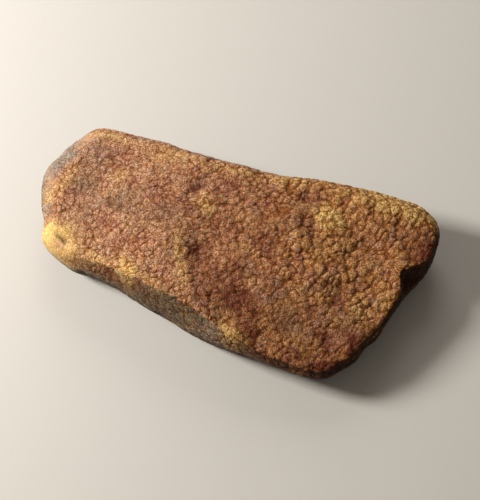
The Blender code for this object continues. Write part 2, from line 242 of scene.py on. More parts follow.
# Where the plates are fainter and the granules show alone: x, y, half length, half width, turn in degrees,
# share.
FAINT_PLATES = (15.0, -13.5, 17.0, 6.5, 8.0, 0.40)

# The grains too fine for the mesh: their width, the finer grit's width, and how high they stand, in
# millimetres.
GRAIN_CELL = 0.38
GRIT_WIDTH = 0.22
GRAIN_HEIGHT = 0.15

# How much of that height is the grains', the rest being the grit's.
GRAIN_SHARE = 0.4

# The share of the relief left at the narrow end with the two x between which it grows to full, and the share
# that is missing on the flanks.
NARROW_END_RELIEF = (0.72, -24.0, 12.0)
FLANK_SMOOTHNESS = 0.45

# Where the crust is worn smoother: x, y, half length, half width, turn in degrees, how much of it is gone.
WORN_PLACES = (
    (-31.0, -11.8, 5.0, 3.2, -15.0, 0.85),
    (-38.5, 3.0, 2.2, 9.0, 12.0, 0.60),
    (-35.0, 11.0, 4.5, 3.0, 45.0, 0.65),
)

# Stains: x, y, half length, half width, turn in degrees, strength.
OCHRE_STAINS = (
    (-31.0, -12.0, 5.6, 3.0, -14.0, 1.20),
    (-21.5, -13.6, 5.0, 1.2, -8.0, 0.55),
    (-14.9, -13.9, 2.6, 1.5, -20.0, 1.20),
    (-9.4, -15.1, 3.0, 1.1, -12.0, 0.45),
    (-5.4, -9.4, 6.5, 1.1, -64.0, 0.60),
    (2.5, 3.0, 2.2, 1.6, 0.0, 0.35),
    (-34.3, -0.5, 3.8, 1.3, 70.0, 0.50),
    (-36.5, -3.4, 1.4, 1.1, 0.0, 0.70),
    (-23.4, 4.6, 1.5, 2.2, 0.0, 0.30),
    (-17.0, 11.7, 3.8, 2.2, 0.0, 0.50),
    (-5.1, 3.6, 1.6, 2.0, 0.0, 0.75),
    (7.1, -18.0, 1.5, 1.2, 0.0, 0.90),
    (8.9, -19.3, 2.6, 1.3, -10.0, 0.90),
    (18.3, 9.5, 2.6, 1.8, -20.0, 2.40),
    (22.3, 17.1, 2.0, 1.4, 0.0, 1.00),
    (30.5, 17.2, 7.5, 2.4, -6.0, 1.80),
    (21.0, 3.0, 7.0, 9.0, 0.0, 0.16),
    (19.0, -8.0, 4.0, 6.0, 0.0, 0.14),
    (30.5, -5.4, 3.2, 1.7, 50.0, 0.45),
    (33.3, -2.4, 3.2, 1.4, 60.0, 0.50),
    (-28.0, 12.7, 6.0, 1.3, 0.0, 0.40),
    (-14.0, 12.6, 8.0, 1.3, 0.0, 0.35),
    (-2.0, 12.8, 7.0, 1.3, 4.0, 0.50),
    (10.0, 15.0, 8.0, 1.5, 12.0, 0.55),
    (21.0, 16.7, 5.0, 1.5, 7.0, 0.60),
)
PLUM_STAINS = (
    (4.3, -6.4, 2.4, 2.8, 0.0, 0.80),
    (0.0, 1.5, 9.0, 7.5, 0.0, 0.42),
    (38.6, 9.0, 3.4, 7.0, 0.0, 0.90),
    (0.9, -7.8, 2.8, 1.9, -60.0, 0.80),
    (27.0, 12.0, 5.0, 3.0, 0.0, 0.28),
    (4.5, -11.5, 4.6, 3.7, -40.0, 1.00),
    (17.0, -13.0, 13.0, 6.0, 8.0, 0.40),
    (9.0, -13.5, 4.6, 3.6, -50.0, 1.00),
    (12.4, -17.6, 3.4, 2.1, -30.0, 1.10),
    (-2.8, -5.4, 3.4, 2.5, 66.0, 0.80),
    (-8.2, 6.3, 2.8, 1.5, 68.0, 0.70),
    (12.6, 12.6, 1.5, 0.9, 72.0, 1.00),
    (25.5, 15.7, 1.6, 1.4, 0.0, 0.85),
    (16.9, 4.1, 2.8, 1.3, -68.0, 0.40),
    (25.4, 5.4, 4.2, 1.1, 62.0, 0.65),
    (25.0, -6.0, 1.9, 1.0, 49.0, 0.85),
    (25.9, -13.9, 1.7, 1.3, 0.0, 0.85),
    (9.5, -1.0, 2.8, 1.3, 10.0, 0.45),
    (-14.9, 3.8, 3.2, 2.8, 0.0, 0.20),
    (-22.3, -6.2, 1.7, 1.0, 40.0, 0.50),
    (-25.4, -9.7, 2.0, 2.0, 0.0, 0.40),
    (-30.3, -5.8, 2.6, 2.0, 0.0, 0.30),
    (0.0, 9.5, 6.0, 4.0, 0.0, 0.38),
    (-24.0, -15.2, 7.0, 1.1, -5.0, 1.10),
    (-15.0, -16.0, 5.0, 0.9, -10.0, 1.10),
    (20.5, -18.2, 5.5, 1.8, -3.0, 0.75),
    (30.4, -13.9, 4.6, 1.3, 66.0, 1.10),
    (27.8, -17.8, 3.6, 1.7, 28.0, 1.60),
    (26.8, -15.2, 2.4, 1.7, 0.0, 0.80),
)
ASH_STAINS = (
    (-30.3, 0.4, 2.6, 3.6, 0.0, 0.60),
    (-21.5, -1.0, 3.8, 2.6, 0.0, 0.60),
    (-11.5, -1.0, 2.6, 2.4, 0.0, 0.45),
    (-30.0, 7.5, 5.0, 4.0, 0.0, 0.30),
    (-27.5, -3.5, 4.5, 3.5, 0.0, 0.28),
    (28.8, -9.5, 4.5, 4.0, 0.0, 0.35),
    (7.3, -6.6, 1.8, 1.4, 0.0, 0.55),
    (18.7, -13.2, 2.8, 2.4, 0.0, 0.55),
)
FROST_STAINS = (
    (-36.9, 5.5, 1.8, 5.2, -14.0, 1.20),
    (-38.4, 0.5, 1.5, 3.5, 0.0, 0.55),
    (-36.6, -6.8, 1.0, 2.6, 0.0, 0.80),
    (5.2, -19.9, 3.2, 1.8, 0.0, 0.55),
    (-31.0, 8.5, 5.5, 4.5, 0.0, 0.28),
)

# The floor of the corner's pit, which the ochre leaves bare, its upper wall, darkened with painted shade for
# the shadow there, and the place round that corner which the ash leaves bare.
PIT_FLOOR = (-29.9, -12.5, 2.0, 1.0, -14.5, 0.90)
PIT_WALL_SHADE = (-29.3, -11.6, 1.9, 0.34, -14.5, 0.60)
BARE_CORNER = (-32.0, -11.5, 7.0, 4.5, -12.0, 1.0)


def round_the_outline(where):
    """Station values at fractional places round the outline: a closed Catmull-Rom spline through them."""
    stations = np.array(STATIONS)
    count = len(stations)
    first = np.floor(where).astype(int)
    t = (where - first)[:, None]
    before, start, end, after = (stations[(first + step) % count] for step in (-1, 0, 1, 2))
    return 0.5 * (
        2.0 * start
        + (end - before) * t
        + (2.0 * before - 5.0 * start + 4.0 * end - after) * t**2
        + (3.0 * start - before - 3.0 * end + after) * t**3
    )


def evenly_spaced_places(faces_long, faces_wide):
    """Places round the outline, spread evenly by length over each of its four sides."""
    places = []
    ends = CORNERS[1:] + (CORNERS[0] + len(STATIONS),)
    for start, end, faces in zip(CORNERS, ends, (faces_long, faces_wide) * 2):
        fine = np.linspace(start, end, FINE_STEPS * (end - start) + 1)
        steps = np.linalg.norm(np.diff(round_the_outline(fine)[:, :2], axis=0), axis=1)
        length = np.concatenate([[0.0], np.cumsum(steps)])
        places.append(np.interp(np.arange(faces) / faces * length[-1], length, fine))
    return np.concatenate(places)


def blend_weights(controls, part_way):
    """Weights of the controls of a clamped cubic B-spline, one row for each part of the way along it."""
    knots = np.concatenate([[0.0] * 3, np.arange(controls - 2.0), [controls - 3.0] * 3])
    t = np.minimum(part_way, 1.0 - 1e-9) * (controls - 3.0)
    weights = ((knots[:-1] <= t[:, None]) & (t[:, None] < knots[1:])).astype(float)
    for degree in (1, 2, 3):
        lower, upper = knots[: -degree - 1], knots[degree + 1 :]
        rise = np.maximum(knots[degree:-1] - lower, 1e-12)
        fall = np.maximum(upper - knots[1 : len(knots) - degree], 1e-12)
        left = np.where(knots[degree:-1] > lower, (t[:, None] - lower) / rise, 0.0)
        right = np.where(upper > knots[1 : len(knots) - degree], (upper - t[:, None]) / fall, 0.0)
        weights = left * weights[:, :-1] + right * weights[:, 1:]
    return weights


def lean_in(x, y, distance):
    """The point that lies the given distance from x, y towards the nearest place on the spine."""
    start, end = np.array(SPINE)
    along = np.clip(((x - start[0]) * (end - start)[0] + (y - start[1]) * (end - start)[1])
                    / ((end - start) ** 2).sum(), 0.0, 1.0)
    to_x = start[0] + along * (end - start)[0] - x
    to_y = start[1] + along * (end - start)[1] - y
    far = np.hypot(to_x, to_y)
    return x + to_x / far * distance, y + to_y / far * distance


def top_height(x, y):
    """Height of the top before relief: the heights of TOP_HEIGHTS, weighed by nearness to their places."""
    total = np.zeros_like(x)
    weight = np.zeros_like(x)
    for place_x, place_y, height in TOP_HEIGHTS:
        near = np.exp(-((x - place_x) ** 2 + (y - place_y) ** 2) / (2.0 * REACH**2))
        total += near * height
        weight += near
    return total / weight


def underside_height(x, y):
    """Height of the underside: nought on the resting face, then rising as the square of the way past it."""
    along = x + REST_TURN * y
    across = y - REST_TURN * x
    past = np.maximum(np.hypot(along / REST_HALF_LENGTH, across / REST_HALF_WIDTH) - 1.0, 0.0)
    return UNDERSIDE_RISE * past**2 / (past + REST_EASE)


def flank(faces_long, faces_wide, part_way):
    """The flank as rows of points, at the given parts of the way down a B-spline from rim to foot."""
    x, y, waist, setback, tuck = round_the_outline(evenly_spaced_places(faces_long, faces_wide)).T
    rim_x, rim_y = lean_in(x, y, setback + RIM_WIDTH)
    edge_x, edge_y = lean_in(x, y, setback)
    edge_z = top_height(edge_x, edge_y)
    lip_x, lip_y = lean_in(x, y, LIP_SHARE * setback)
    waist_x, waist_y = lean_in(x, y, -WAIST_SWELL)
    under_x, under_y = lean_in(x, y, UNDER_SHARES[0] * tuck)
    heel_x, heel_y = lean_in(x, y, HEEL_SHARES[0] * tuck)
    foot_x, foot_y = lean_in(x, y, tuck + RIM_WIDTH)
    controls = np.array([
        (rim_x, rim_y, top_height(rim_x, rim_y)),
        (edge_x, edge_y, edge_z),
        (lip_x, lip_y, edge_z - LIP_DROP),
        (waist_x, waist_y, waist + WAIST_RISE * (edge_z - waist)),
        (under_x, under_y, UNDER_SHARES[1] * waist),
        (heel_x, heel_y, underside_height(heel_x, heel_y) + HEEL_SHARES[1] * waist),
        (foot_x, foot_y, underside_height(foot_x, foot_y)),
    ])
    return np.einsum("rk,kdc->rcd", blend_weights(len(controls), part_way), controls)


def fill_between(rim, faces_long, faces_wide):
    """A Coons patch in plan between a rim's four sides, eased: x and y over long and wide steps."""
    front = rim[: faces_long + 1]
    right = rim[faces_long : faces_long + faces_wide + 1]
    back = rim[faces_long + faces_wide : 2 * faces_long + faces_wide + 1][::-1]
    left = np.concatenate([rim[2 * faces_long + faces_wide :], rim[:1]])[::-1]
    u = np.linspace(0.0, 1.0, faces_long + 1)[:, None, None]
    v = np.linspace(0.0, 1.0, faces_wide + 1)[None, :, None]
    across = (1 - v) * front[:, None] + v * back[:, None]
    along = (1 - u) * left[None] + u * right[None]
    front_corners = (1 - v) * ((1 - u) * front[0] + u * front[-1])
    back_corners = v * ((1 - u) * back[0] + u * back[-1])
    plan = across + along - front_corners - back_corners
    for _ in range(EASING_ROUNDS):
        plan[1:-1, 1:-1] = 0.25 * (plan[:-2, 1:-1] + plan[2:, 1:-1] + plan[1:-1, :-2] + plan[1:-1, 2:])
    return plan


def sheet(rim, height, faces_long, faces_wide):
    """The inner points of the top or the underside, filled in from its rim, with their heights."""
    plan = fill_between(rim[:, :2], faces_long, faces_wide)[1:-1, 1:-1]
    return np.concatenate([plan, height(plan[..., 0], plan[..., 1])[..., None]], axis=-1).reshape(-1, 3)


def sheet_index(first_of_rim, first_inside, faces_long, faces_wide):
    """Numbers of a sheet's points over long and wide steps: the rim round the outside, the rest inside."""
    number = np.empty((faces_long + 1, faces_wide + 1), int)
    number[1:-1, 1:-1] = first_inside + np.arange((faces_long - 1) * (faces_wide - 1)).reshape(
        faces_long - 1, faces_wide - 1)
    rim = first_of_rim + np.arange(2 * (faces_long + faces_wide))
    number[:, 0] = rim[: faces_long + 1]
    number[-1, :] = rim[faces_long : faces_long + faces_wide + 1]
    number[::-1, -1] = rim[faces_long + faces_wide : 2 * faces_long + faces_wide + 1]
    number[0, ::-1] = np.append(rim[2 * faces_long + faces_wide :], rim[0])
    return number


def quads_of(number):
    """The four-sided faces of a grid of point numbers, facing up where the numbers run along X, then Y."""
    corners = (number[:-1, :-1], number[1:, :-1], number[1:, 1:], number[:-1, 1:])
    return np.stack(corners, axis=-1).reshape(-1, 4)


def strip_between(fine_row, coarse_row):
    """Faces between a row of points and the row below it with half as many.

    Three triangles fill each two steps of the finer row.
    """
    first, middle = fine_row[:-1:2], fine_row[1::2]
    last, low, low_next = fine_row[2::2], coarse_row[:-1], coarse_row[1:]
    return np.concatenate([
        np.stack([first, low, middle, middle], axis=-1),
        np.stack([middle, low, low_next, low_next], axis=-1),
        np.stack([middle, low_next, last, last], axis=-1),
    ])


def slab(faces_long, faces_wide, faces_down, faces_low):
    """Points and faces of the closed slab before relief.

    A triangle is a four-sided face with its last point twice.
    """
    rows = flank(faces_long, faces_wide, np.linspace(0.0, UPPER_FLANK, faces_down + 1))
    low_rows = flank(faces_long, faces_wide, np.linspace(UPPER_FLANK, 1.0, faces_low + 1))[1:, ::2]
    half_long, half_wide = faces_long // 2, faces_wide // 2
    top = sheet(rows[0], top_height, faces_long, faces_wide)
    underside = sheet(low_rows[-1], underside_height, half_long, half_wide)
    points = np.concatenate([rows.reshape(-1, 3), low_rows.reshape(-1, 3), top, underside])
    number = np.arange(rows.shape[0] * rows.shape[1]).reshape(rows.shape[:2])
    low_number = number.size + np.arange(low_rows.shape[0] * low_rows.shape[1]).reshape(low_rows.shape[:2])
    first_of_top = number.size + low_number.size
    top_number = sheet_index(0, first_of_top, faces_long, faces_wide)
    under_number = sheet_index(low_number[-1, 0], first_of_top + len(top), half_long, half_wide)
    number, low_number = (np.concatenate([grid, grid[:, :1]], axis=1) for grid in (number, low_number))
    faces = np.concatenate([
        quads_of(number),
        strip_between(number[-1], low_number[0]),
        quads_of(low_number),
        quads_of(top_number),
        quads_of(under_number)[:, ::-1],
    ])
    return points, faces


def outward(points, faces):
    """Unit vectors square to the surface at each point: the sum of its faces' areas and directions."""
    corner = points[faces]
    square = np.cross(corner[:, 2] - corner[:, 0], corner[:, 3] - corner[:, 1])
    total = np.zeros_like(points)
    for side in range(4):
        np.add.at(total, faces[:, side], square)
    return total / np.linalg.norm(total, axis=1, keepdims=True)


def scatter(cell):
    """A fixed number from -1 to 1 for each whole-numbered cell."""
    mixed = np.sin(cell @ np.array(SCATTER_WAVES)) * SCATTER_FACTOR
    return 2.0 * (mixed - np.floor(mixed)) - 1.0


def uneven(points, width):
    """Smooth lumps of the given width, from -1 to 1: scattered numbers blended across a lattice."""
    place = points / width + LATTICE_START
    cell = np.floor(place)
    part = place - cell
    part = part * part * (3.0 - 2.0 * part)
    total = np.zeros(len(points))
    for corner in np.ndindex(2, 2, 2):
        share = np.prod(np.where(corner, part, 1.0 - part), axis=1)
        total += share * scatter(cell + corner)
    return total


def swelling(points, x, y, half_length, half_width, turn, height):
    """An oval swelling of the top: a bell curve in plan."""
    angle = np.radians(turn)
    along = (points[:, 0] - x) * np.cos(angle) + (points[:, 1] - y) * np.sin(angle)
    across = (points[:, 1] - y) * np.cos(angle) - (points[:, 0] - x) * np.sin(angle)
    return height * np.exp(-((along / half_length) ** 2) - (across / half_width) ** 2)


def crease(points):
    """The step in the top: signed distance from the crease's line makes a lip, a fall and a slow recovery."""
    line = np.array(CREASE)
    nearest = np.full(len(points), np.inf)
    side = np.zeros(len(points))
    fade = np.zeros(len(points))
    for number, (start, end) in enumerate(zip(line[:-1], line[1:])):
        run = end - start
        away = points[:, :2] - start
        along = np.clip(away @ run / (run @ run), 0.0, 1.0)
        off = away - along[:, None] * run
        distance = np.linalg.norm(off, axis=1)
        closer = distance < nearest
        nearest = np.where(closer, distance, nearest)
        side = np.where(closer, np.sign(run[0] * off[:, 1] - run[1] * off[:, 0]), side)
        fade = np.where(closer, np.sin(np.pi * (number + along) / (len(line) - 1)), fade)
    signed = nearest * side
    lip = CREASE_LIP * np.exp(-((signed / CREASE_WIDTH) ** 2))
    fall = 0.5 + 0.5 * np.tanh(CREASE_STEEPNESS * signed / CREASE_WIDTH)
    return fade * (lip - CREASE_DROP * fall * np.exp(-((signed / CREASE_FADE) ** 2)))


def add_relief(points, faces):
    """The slab with its lumps, hollows, crease, pit and bite. The resting face stays flat."""
    square = outward(points, faces)
    upward = np.clip(square[:, 2], 0.0, 1.0) ** 2
    above_floor = np.clip(points[:, 2] / GROWTH_START, 0.0, 1.0)
    grown = sum(height * uneven(points, width) for width, height in GROWTH) * above_floor
    for x, y, z, radius, height in FLANK_LUMPS:
        away = ((points - (x, y, z)) ** 2).sum(axis=1)
        grown = grown + height * np.exp(-away / radius**2) * (1.0 - upward)
    top = crease(points) + sum(swelling(points, *values) for values in SWELLINGS)
    moved = points + square * (grown + top * upward)[:, None]
    moved[:, 2] = np.where(points[:, 2] > 0.0, np.maximum(moved[:, 2], 0.0), 0.0)
    return moved


def bite(points):
    """What lies in the bite's corner moves back along its diagonal until it meets a wall or the floor.

    Each point is a mix of the bite's three sides; the smallest share, eased by BITE_WEAR, is what it moves
    back.
    Both the moved points and how far each one moved are returned.
    """
    sides = np.array(BITE_SIDES)
    shares = (points - np.array(BITE_CORNER)) @ np.linalg.inv(sides)
    least = -BITE_WEAR * np.log(np.exp(-np.clip(shares, -9.0, 9.0) / BITE_WEAR).sum(axis=1))
    back = BITE_WEAR * np.log1p(np.exp(np.clip(least / BITE_WEAR, -40.0, 40.0)))
    return points - back[:, None] * sides.sum(axis=0), back


def smooth_step(value, start, end):
    """Nought below start, one above end, and a smooth rise between them."""
    t = np.clip((value - start) / (end - start), 0.0, 1.0)
    return t * t * (3.0 - 2.0 * t)


def crust_place(points):
    """Where a point lies in the crust's own measure, one unit a plate, finer at the narrow end."""
    middle, fall = PLATE_FINENESS
    x = points[:, 0]
    fineness = middle - fall * x
    along = (middle - 0.5 * fall * x) * x
    return np.stack([along, fineness * points[:, 1], fineness * points[:, 2]], axis=-1)


def shaken(cell):
    """Three fixed numbers from 0 to 1 for each whole-numbered cell, the place of its seed."""
    return np.stack([0.5 + 0.5 * scatter(cell + shift) for shift in (0.0, 41.3, 87.9)], axis=-1)


def plates(place, spread=0.0):
    """The nearest seed's cell, the way to that seed, and how far the second nearest seed is beyond it.

    The spread gives each seed its own head start, so that some plates grow larger than others.
    """
    base = np.floor(place)
    nearest = np.full(len(place), np.inf)
    second = np.full(len(place), np.inf)
    cell = np.zeros_like(place)
    to_seed = np.zeros_like(place)
    for step in np.ndindex(3, 3, 3):
        other = base + np.array(step) - 1.0
        way = other + shaken(other) - place
        distance = np.linalg.norm(way, axis=1) - spread * scatter(other + 5.0)
        closer = distance < nearest
        second = np.where(closer, nearest, np.minimum(second, distance))
        nearest = np.where(closer, distance, nearest)
        cell = np.where(closer[:, None], other, cell)
        to_seed = np.where(closer[:, None], way, to_seed)
    return cell, to_seed, second - nearest


def worn(points):
    """How much of the crust is gone, from 0 to 1: the worn places, and part of the flanks."""
    left = np.ones(len(points))
    for values in WORN_PLACES:
        left *= 1.0 - swelling(points, *values)
    return 1.0 - left


def press_crust(points, square):
    """The skin with its crust pressed in.

    Returned with it for each point: how deep it lies in a crack, which darkens its colour both as crack
    colour and as painted shade, how light its plate is, and how rough it is.
    """
    bend = 0.0
    for width, reach in PLATE_BENDS:
        waves = [uneven(points + shift, width) for shift in (0.0, 31.0, 63.0)]
        bend = bend + reach * np.stack(waves, axis=-1)
    place = crust_place(points + bend)
    cell, to_seed, gap = plates(place, PLATE_SPREAD)
    faint = 0.3 + 0.7 * smooth_step(uneven(points, 1.8), -0.35, 0.35)
    crack = (1.0 - smooth_step(gap, 0.02, CRACK_WIDTH)) * faint
    dome = (to_seed**2).sum(axis=1)
    brim = (1.0 - smooth_step(gap, 0.0, BRIM_WIDTH)) ** 2
    lean = 2.0 * shaken(cell + 13.0) - 1.0
    granule_cell, to_granule, _ = plates(place / GRANULE_SHARE + 5.7)
    small_dome = (to_granule**2).sum(axis=1)
    bare = 1.0 - worn(points)
    least, start, end = NARROW_END_RELIEF
    keep = bare * (least + (1.0 - least) * smooth_step(points[:, 0], start, end))
    side = 1.0 - FLANK_SMOOTHNESS * (1.0 - np.clip(square[:, 2], 0.0, 1.0))
    plate_share = 1.0 - swelling(points, *FAINT_PLATES)
    plate_depth = (
        PLATE_DOME * dome
        + PLATE_TILT * (to_seed * lean).sum(axis=1)
        + PLATE_STEP * scatter(cell + 29.0)
        + BRIM_DEPTH * brim
        + CRACK_DEPTH * crack
    )
    depth = (
        plate_share * plate_depth
        + GRANULE_DOME * small_dome
        + sum(height * uneven(points, width) for width, height in GRAINS)
    ) * keep * side
    # Darker colour in cracks, on brims and towards plate and granule edges: crack colour and painted shade.
    between_plates = 0.75 * crack + 0.25 * brim + 0.20 * smooth_step(dome, 0.15, 0.55)
    crevice_colour_and_shade = plate_share * between_plates + 0.25 * smooth_step(small_dome, 0.10, 0.45)
    tone = 0.5 * scatter(cell + 29.0) + 0.5 * scatter(granule_cell + 3.0)
    measures = {"crevice_colour_and_shade": np.clip(crevice_colour_and_shade * keep, 0.0, 1.0), "plate_tone": tone, "roughness": bare}
    return points - square * np.maximum(depth, 0.0)[:, None], measures


def stain(points, places, ragged):
    """How strongly a stain colours each point: oval patches with ragged edges.

    Where patches overlap, the strongest one counts.
    """
    moved = points + np.stack([ragged, -ragged, 0.0 * ragged], axis=-1) * 1.3
    strength = np.zeros(len(points))
    for values in places:
        strength = np.maximum(strength, swelling(moved, *values))
    return np.clip(strength * (1.0 + 0.35 * ragged), 0.0, 1.0)


def stains(points, square, bitten):
    """The strengths of the stains and of the painted shade. Ash also follows the flanks. The painted shade
    lies
    where shadow falls: on the right flank, the underside, part of the front flank, the bite and the pit's
    wall.
    """
    ragged = 0.6 * uneven(points, 2.6) + 0.4 * uneven(points, 1.1)
    x = points[:, 0]
    up = np.clip(square[:, 2], -1.0, 1.0) + 0.10 * ragged
    front = smooth_step(-square[:, 1], 0.25, 0.75)
    back = smooth_step(square[:, 1], 0.3, 0.8)
    right = smooth_step(square[:, 0] - 0.35 * square[:, 1], 0.2, 0.6)
    left = smooth_step(-square[:, 0], 0.15, 0.6)
    flank_side = 1.0 - smooth_step(up, 0.45, 0.85)
    rim_side = 1.0 - smooth_step(up, 0.70, 0.97)
    low = 1.0 - smooth_step(up, -0.1, 0.45)
    front_left = front * (1.0 - right) * (1.0 - smooth_step(x, 4.0, 20.0))
    ochre = stain(points, OCHRE_STAINS, ragged) * (up > -0.2) * (1.0 - swelling(points, *PIT_FLOOR))
    plum = stain(points, PLUM_STAINS, ragged) * np.clip(2.0 * up, 0.0, 1.0)
    frost = stain(points, FROST_STAINS, ragged) * np.clip(up + 0.6, 0.0, 1.0)
    ash = stain(points, ASH_STAINS, ragged) * np.clip(up + 0.6, 0.0, 1.0)
    for share in (flank_side * front_left, 0.6 * low * back, 0.9 * rim_side * left):
        ash = np.maximum(ash, share)
    frost = np.maximum(frost, 0.8 * flank_side * back * (1.0 - smooth_step(x, 12.0, 22.0)))
    ash = ash * (1.0 - swelling(points, *BARE_CORNER))
    # Painted shade, near-black where shadow falls: right flank, underside, front flank, bite and pit wall.
    painted_shade = low * (right + 0.6 * (up < -0.1))
    for share in (
        0.95 * right * (1.0 - smooth_step(up, 0.40, 0.92)),
        0.65 * flank_side * front * smooth_step(x, 8.0, 12.0),
        smooth_step(bitten, 0.05, 0.45),
        swelling(points, *PIT_WALL_SHADE),
    ):
        painted_shade = np.maximum(painted_shade, share)
    return {"ash": ash, "frost": frost, "plum": plum, "ochre": ochre, "painted_shade": np.clip(painted_shade, 0.0, 1.0)}


def fit_into(points, low, high):
    """The skin stretched and moved into the box from low to high."""
    own_low, own_high = points.min(axis=0), points.max(axis=0)
    return low + (points - own_low) * (high - low) / (own_high - own_low)


def skin():
    """The whole weathered skin as one closed mesh, its cracks, stains and painted shade as attributes of its
    points.
    """
    points, faces = slab(FACES_LONG, FACES_WIDE, FACES_DOWN, FACES_LOW)
    points, bitten = bite(add_relief(points, faces))
    square = outward(points, faces)
    pressed, measures = press_crust(points, square)
    pressed[:, 2] = np.maximum(pressed[:, 2], 0.0)
    low, high = (np.array(corner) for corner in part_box("amber_piece"))
    placed = fit_into(pressed, low, high)
    mesh = bpy.data.meshes.new("weathered_skin")
    triangle = faces[:, 2] == faces[:, 3]
    mesh.from_pydata(placed.tolist(), [], faces[~triangle].tolist() + faces[triangle][:, :3].tolist())
    mesh.shade_smooth()
    measures["gold"] = smooth_step(points[:, 0] + 3.0 * uneven(points, 6.0), -16.0, 22.0)
    measures.update(stains(points, square, bitten))
    for name, values in measures.items():
        layer = mesh.attributes.new(name, "FLOAT", "POINT")
        layer.data.foreach_set("value", values.astype(np.float32))
    piece = bpy.data.objects.new("weathered_skin", mesh)
    bpy.context.scene.collection.objects.link(piece)
    mesh.materials.append(crust_finish())
    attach(piece, "root")
    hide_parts("amber_piece")


# Colours of the crust, as linear reflectances.
TAN = (0.352, 0.196, 0.106, 1.0)
GOLD = (0.430, 0.219, 0.067, 1.0)
ROSE = (0.275, 0.105, 0.060, 1.0)
RUST = (0.325, 0.128, 0.036, 1.0)
STRAW = (0.440, 0.245, 0.095, 1.0)
PALE = (0.350, 0.215, 0.145, 1.0)
BLOOD = (0.200, 0.030, 0.010, 1.0)
OCHRE = (0.520, 0.350, 0.120, 1.0)
PLUM = (0.130, 0.029, 0.012, 1.0)
ASH = (0.115, 0.089, 0.051, 1.0)
FROST = (0.205, 0.175, 0.142, 1.0)
# Near-black painted shade for the parts that lie in shadow.
PAINTED_SHADE_COLOUR = (0.036, 0.011, 0.004, 1.0)

# Painted highlights: bright glints painted onto the grains.
PAINTED_GLINT = (0.700, 0.520, 0.360, 1.0)

# Each mottle in the order it is laid on: its colour, the width of its patches in millimetres, how finely they
# are broken up, its draw of the noise, the noise at which it starts and is full, and its strength.
MOTTLES = (
    (ROSE, 4.5, 1.5, 1.0, 0.46, 0.62, 0.75),
    (PALE, 2.4, 1.0, 2.0, 0.54, 0.70, 0.70),
    (STRAW, 1.7, 1.0, 3.0, 0.55, 0.70, 0.60),
    (RUST, 1.9, 1.0, 4.0, 0.54, 0.70, 0.65),
    # Painted highlights, laid last of the mottles.
    (PAINTED_GLINT, 0.20, 0.0, 13.0, 0.62, 0.74, 0.50),
)

# Red flecks over the stains, in the same terms.
FLECKS = (BLOOD, 0.9, 2.0, 15.0, 0.66, 0.74, 0.60)

# Each stain in the order it is laid on: its name, its colour, and its strength where it is thinnest.
STAIN_PAINTS = (
    ("ash", ASH, 0.45),
    ("frost", FROST, 0.60),
    ("plum", PLUM, 0.50),
    ("ochre", OCHRE, 0.78),
    # Painted shade, laid last, where shadow falls.
    ("painted_shade", PAINTED_SHADE_COLOUR, 0.95),
)

# What the crust's colour is multiplied by in a crack, in a pit and on a tip of its grains, and on its darkest
# and lightest plates. In cracks and pits this is darker colour and painted shade together, on tips lighter
# colour and painted highlight together; the plates' tones are their own.
CREVICE_COLOUR_AND_SHADE_TINT = (0.50, 0.30, 0.15, 1.0)
PIT_COLOUR_AND_SHADE_TINT = (0.50, 0.34, 0.19, 1.0)
TIP_COLOUR_AND_HIGHLIGHT_TINT = (1.32, 1.42, 1.68, 1.0)
DARK_PLATE_TINT = (0.86, 0.86, 0.86, 1.0)
LIGHT_PLATE_TINT = (1.14, 1.14, 1.14, 1.0)

# The colour of the light that it reflects.
SHEEN = (1.0, 0.80, 0.60, 1.0)


